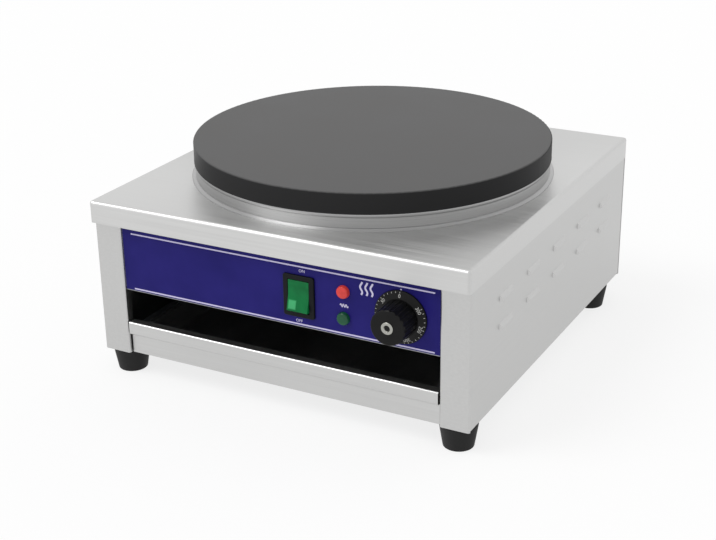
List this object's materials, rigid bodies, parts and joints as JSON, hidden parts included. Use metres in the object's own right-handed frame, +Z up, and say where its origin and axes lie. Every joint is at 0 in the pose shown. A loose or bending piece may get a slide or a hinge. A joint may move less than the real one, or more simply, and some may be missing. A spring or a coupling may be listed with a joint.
{
  "type": "electric crepe maker",
  "caption": "Countertop electric crepe maker: round cast griddle on a brushed steel box with a recessed control panel, power rocker, signal lamps, thermostat knob and a shallow pull-out drawer",
  "frame": {"origin": "on the surface it stands on, under the axis of the round plate", "axes": "+Z up along the plate's axis, -Y towards the user and the control panel, +X to the user's right"},
  "size_m": [0.4482, 0.5051, 0.2432],
  "materials": {
    "stainless": "fine brushed, satin",
    "plain_steel": "zinc-plated sheet",
    "cast_iron": "machined and seasoned, dull",
    "heater_steel": "heat-stained sheath",
    "mineral_wool": "pressed ceramic fibre",
    "blue_skin": "satin printed film",
    "black_plastic": "moulded, fine grain",
    "green_rocker": "translucent",
    "red_lens": "translucent",
    "green_lens": "translucent",
    "chrome": "polished",
    "rubber": "matt",
    "fasteners": "bright plated",
    "ceramic": "unglazed",
    "brass": "plain"
  },
  "bodies": {
    "housing": {"top_cover": "stainless", "right_side_panel": "stainless", "left_side_panel": "stainless", "back_panel": "stainless", "control_panel": "stainless", "plate_collar": "stainless", "base_panel": "plain_steel", "compartment_shelf": "plain_steel", "element_clamp": "plain_steel", "heat_shield": "plain_steel", "front_strap": "plain_steel", "rear_strap": "plain_steel", "right_runner": "plain_steel", "left_runner": "plain_steel", "bulb_clips": "plain_steel", "griddle_plate": "cast_iron", "inner_element": "heater_steel", "middle_element": "heater_steel", "outer_element": "heater_steel", "insulation_pad": "mineral_wool", "panel_overlay": "blue_skin", "switch_housing": "black_plastic", "thermostat_body": "black_plastic", "red_lamp_holder": "black_plastic", "green_lamp_holder": "black_plastic", "cable_gland": "black_plastic", "gland_cap": "black_plastic", "gland_nut": "black_plastic", "red_lamp_lens": "red_lens", "green_lamp_lens": "green_lens", "foot_front_left": "rubber", "foot_rear_left": "rubber", "foot_front_right": "rubber", "foot_rear_right": "rubber", "back_screws": "fasteners", "cover_screws": "fasteners", "panel_rivets": "fasteners", "foot_screws": "fasteners", "foot_nuts": "fasteners", "collar_screws": "fasteners", "collar_nuts": "fasteners", "plate_studs": "fasteners", "plate_nuts": "fasteners", "thermostat_screws": "fasteners", "runner_rivets": "fasteners", "terminal_block": "ceramic", "terminal_screws": "brass", "earth_terminal": "brass", "thermostat_bulb": "brass"},
    "drawer": {"drawer_front": "stainless", "drawer_pan": "stainless"},
    "rocker": {"power_rocker": "green_rocker"},
    "knob": {"thermostat_knob": "black_plastic", "knob_cap": "chrome", "thermostat_shaft": "chrome"}
  },
  "joints": [
    {"name": "drawer_slide", "type": "slide", "parent": "housing", "child": "drawer", "axis": [0, -1, 0], "range_m": [0, 0.26]},
    {"name": "rocker_pivot", "type": "hinge", "parent": "housing", "child": "rocker", "pos_m": [0.0305, -0.2205, 0.1375], "axis": [1, 0, 0], "range_deg": [0, 16]},
    {"name": "knob_turn", "type": "hinge", "parent": "housing", "child": "knob", "pos_m": [0.1455, -0.2221, 0.1375], "axis": [0, 1, 0], "range_deg": [0, 300]}
  ]
}
